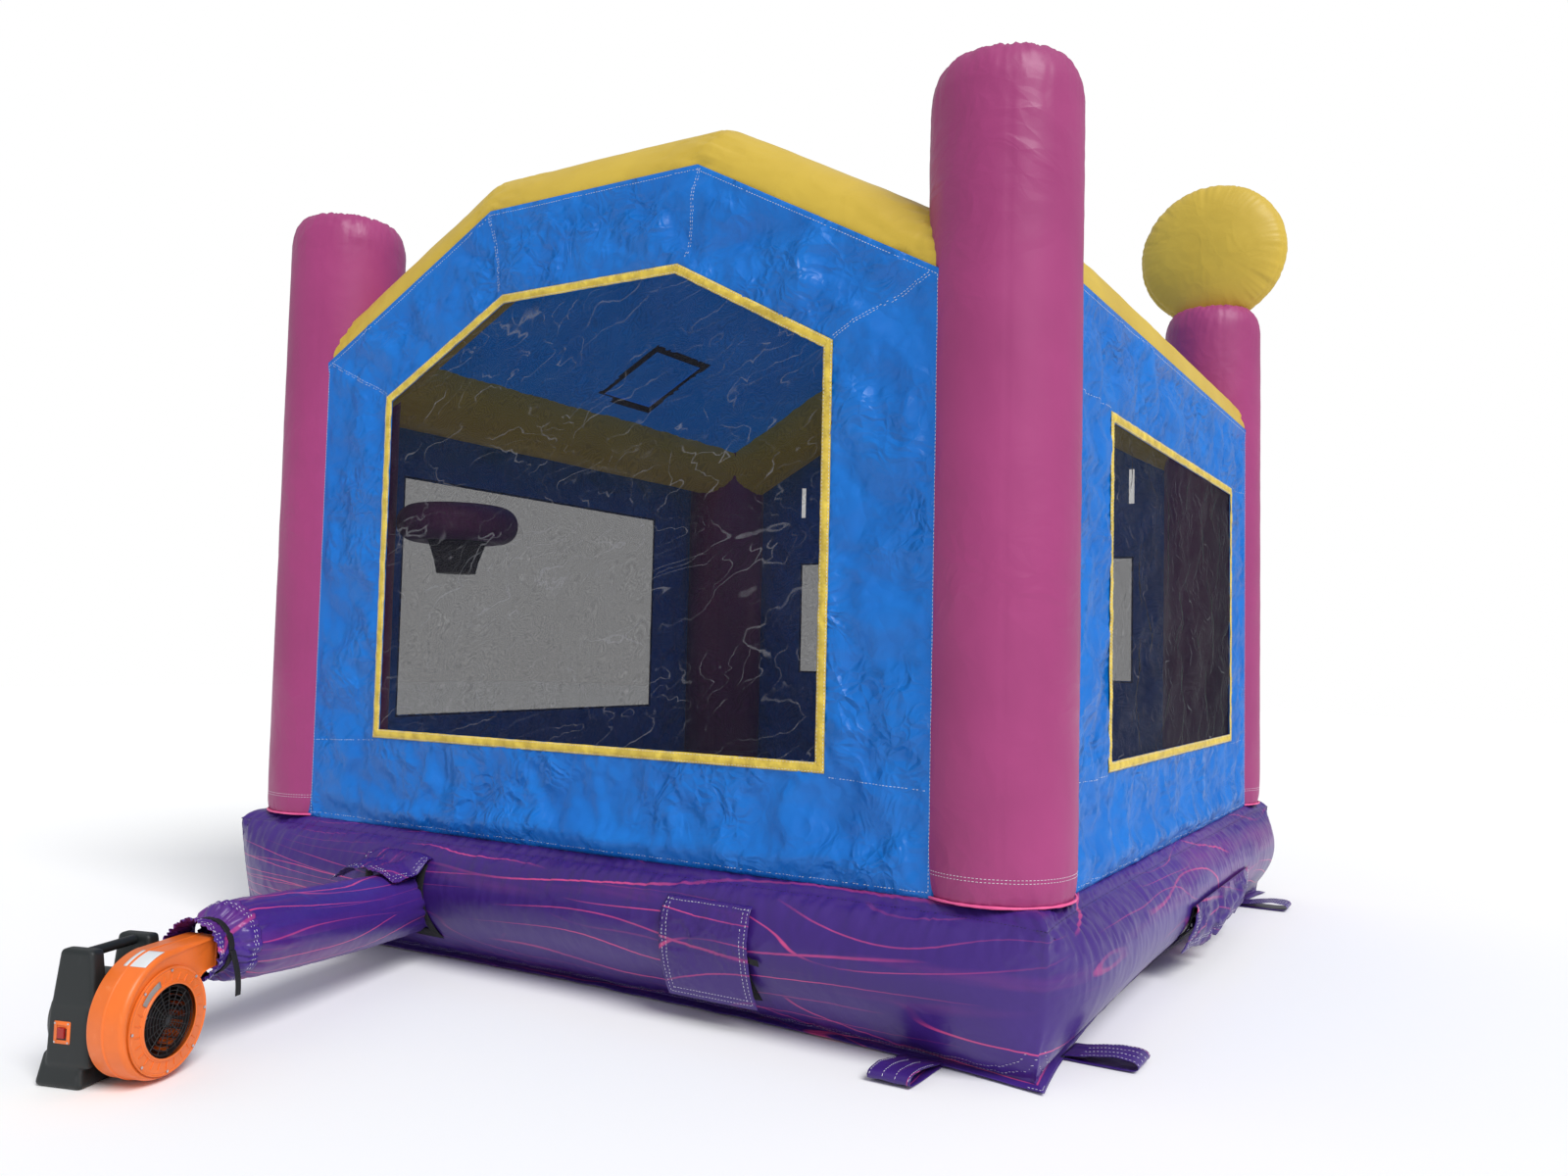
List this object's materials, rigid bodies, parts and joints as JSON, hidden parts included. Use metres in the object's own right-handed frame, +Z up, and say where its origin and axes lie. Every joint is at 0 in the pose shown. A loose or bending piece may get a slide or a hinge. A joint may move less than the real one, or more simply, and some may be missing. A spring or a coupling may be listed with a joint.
{
  "type": "inflatable bounce house",
  "caption": "Inflatable bounce house with corner columns, gabled net windows, roof hatch, hoop and an electric blower on a fabric tube.",
  "frame": {"origin": "on the ground under the centre of the square base", "axes": "+Z up; -Y towards the gabled rear wall and the blower, +Y towards the entrance, +X to the right seen from the blower side"},
  "size_m": [4.39, 6.4732, 4.225],
  "materials": {
    "base_vinyl": "marbled purple coated fabric, semi-gloss",
    "floor_vinyl": "blue coated fabric, semi-gloss",
    "inner_fabric": "plain white coated fabric",
    "column_vinyl": "magenta coated fabric, semi-gloss",
    "yellow_vinyl": "yellow coated fabric, semi-gloss",
    "wall_vinyl": "blue coated fabric, semi-gloss",
    "window_net": "black woven net, see-through",
    "trim_tape": "yellow tape, stitched",
    "hook_and_loop": "black hook-and-loop strip",
    "hoop_vinyl": "dark magenta coated fabric",
    "hoop_net": "white knotted net",
    "strap_webbing": "black webbing",
    "zip_coil": "black coil zip",
    "zip_metal": "nickel plated",
    "fan_orange": "orange moulded plastic, satin",
    "fan_black": "black moulded plastic, fine texture",
    "grille_black": "black coated wire",
    "impeller_black": "black moulded plastic",
    "steel": "zinc plated",
    "motor_paint": "grey enamel",
    "rocker_red": "dark red translucent rocker"
  },
  "bodies": {
    "house": {"anchor_loops": "base_vinyl", "arch_beam_front": "yellow_vinyl", "arch_beam_rear": "yellow_vinyl", "base_baffles": "inner_fabric", "base_mattress": "base_vinyl", "blower_screws": "steel", "bounce_floor": "floor_vinyl", "cable_gland": "fan_black", "cinch_strap": "strap_webbing", "column_front_left": "column_vinyl", "column_front_right": "column_vinyl", "column_rear_left": "column_vinyl", "column_rear_right": "column_vinyl", "disc_left": "yellow_vinyl", "disc_right": "yellow_vinyl", "door_trim": "trim_tape", "eave_beam_left": "yellow_vinyl", "eave_beam_right": "yellow_vinyl", "entrance_step": "base_vinyl", "handle_bar": "fan_black", "hatch_fastener": "hook_and_loop", "hoop_net": "hoop_net", "hoop_ring": "hoop_vinyl", "inflation_tube": "base_vinyl", "inlet_flap_fastener": "hook_and_loop", "intake_cover": "fan_orange", "intake_grille": "grille_black", "motor": "motor_paint", "motor_housing": "fan_black", "rear_flap_fastener": "hook_and_loop", "roof_sheet": "wall_vinyl", "side_flap_fastener": "hook_and_loop", "switch_plate": "fan_orange", "tie_strap": "strap_webbing", "tube_cuff": "base_vinyl", "volute_housing": "fan_orange", "wall_front": "wall_vinyl", "wall_left": "wall_vinyl", "wall_rear": "wall_vinyl", "wall_right": "wall_vinyl", "window_net_front": "window_net", "window_net_left": "window_net", "window_net_rear": "window_net", "window_net_right": "window_net", "window_trim_front": "trim_tape", "window_trim_left": "trim_tape", "window_trim_rear": "trim_tape", "window_trim_right": "trim_tape", "zip_tape": "zip_coil"},
    "hatch": {"roof_hatch": "wall_vinyl"},
    "rear_pocket_flap": {"rear_flap": "base_vinyl"},
    "inlet_cover_flap": {"inlet_flap": "base_vinyl"},
    "side_zip_flap": {"side_flap": "base_vinyl"},
    "slider": {"zip_slider": "zip_metal"},
    "door_leaf_left": {"door_net_left": "window_net"},
    "door_leaf_right": {"door_net_right": "window_net"},
    "fan_wheel": {"impeller": "impeller_black", "motor_shaft": "steel"},
    "rocker": {"rocker_switch": "rocker_red"}
  },
  "joints": [
    {"name": "hatch_hinge", "type": "hinge", "parent": "house", "child": "hatch", "pos_m": [-0.9568, 0.09, 3.12696], "axis": [0, 1, 0], "range_deg": [0, 150]},
    {"name": "rear_flap_hinge", "type": "hinge", "parent": "house", "child": "rear_pocket_flap", "pos_m": [0.768, -2.0675, 0.459], "axis": [-1, 0, 0], "range_deg": [0, 150]},
    {"name": "inlet_flap_hinge", "type": "hinge", "parent": "house", "child": "inlet_cover_flap", "pos_m": [-0.834, -2.0675, 0.4585], "axis": [-1, 0, 0], "range_deg": [0, 85]},
    {"name": "side_flap_hinge", "type": "hinge", "parent": "house", "child": "side_zip_flap", "pos_m": [2.0735, 0.225, 0.331], "axis": [0, -1, 0], "range_deg": [0, 150]},
    {"name": "zip_slide", "type": "slide", "parent": "house", "child": "slider", "axis": [0, 1, 0], "range_m": [0, 0.95]},
    {"name": "door_left_hinge", "type": "hinge", "parent": "house", "child": "door_leaf_left", "pos_m": [-0.4465, 1.9475, 1.29], "axis": [0, 0, 1], "range_deg": [-80, 100]},
    {"name": "door_right_hinge", "type": "hinge", "parent": "house", "child": "door_leaf_right", "pos_m": [0.4465, 1.9475, 1.29], "axis": [0, 0, -1], "range_deg": [-80, 100]},
    {"name": "fan_spin", "type": "hinge", "parent": "house", "child": "fan_wheel", "pos_m": [-0.3194, -3.4219, 0.183], "axis": [0.9553, 0.2957, 0], "continuous": true},
    {"name": "rocker_tilt", "type": "hinge", "parent": "house", "child": "rocker", "pos_m": [-0.51445, -3.63721, 0.165], "axis": [0.9553, 0.2957, 0], "range_deg": [-9, 9]}
  ]
}
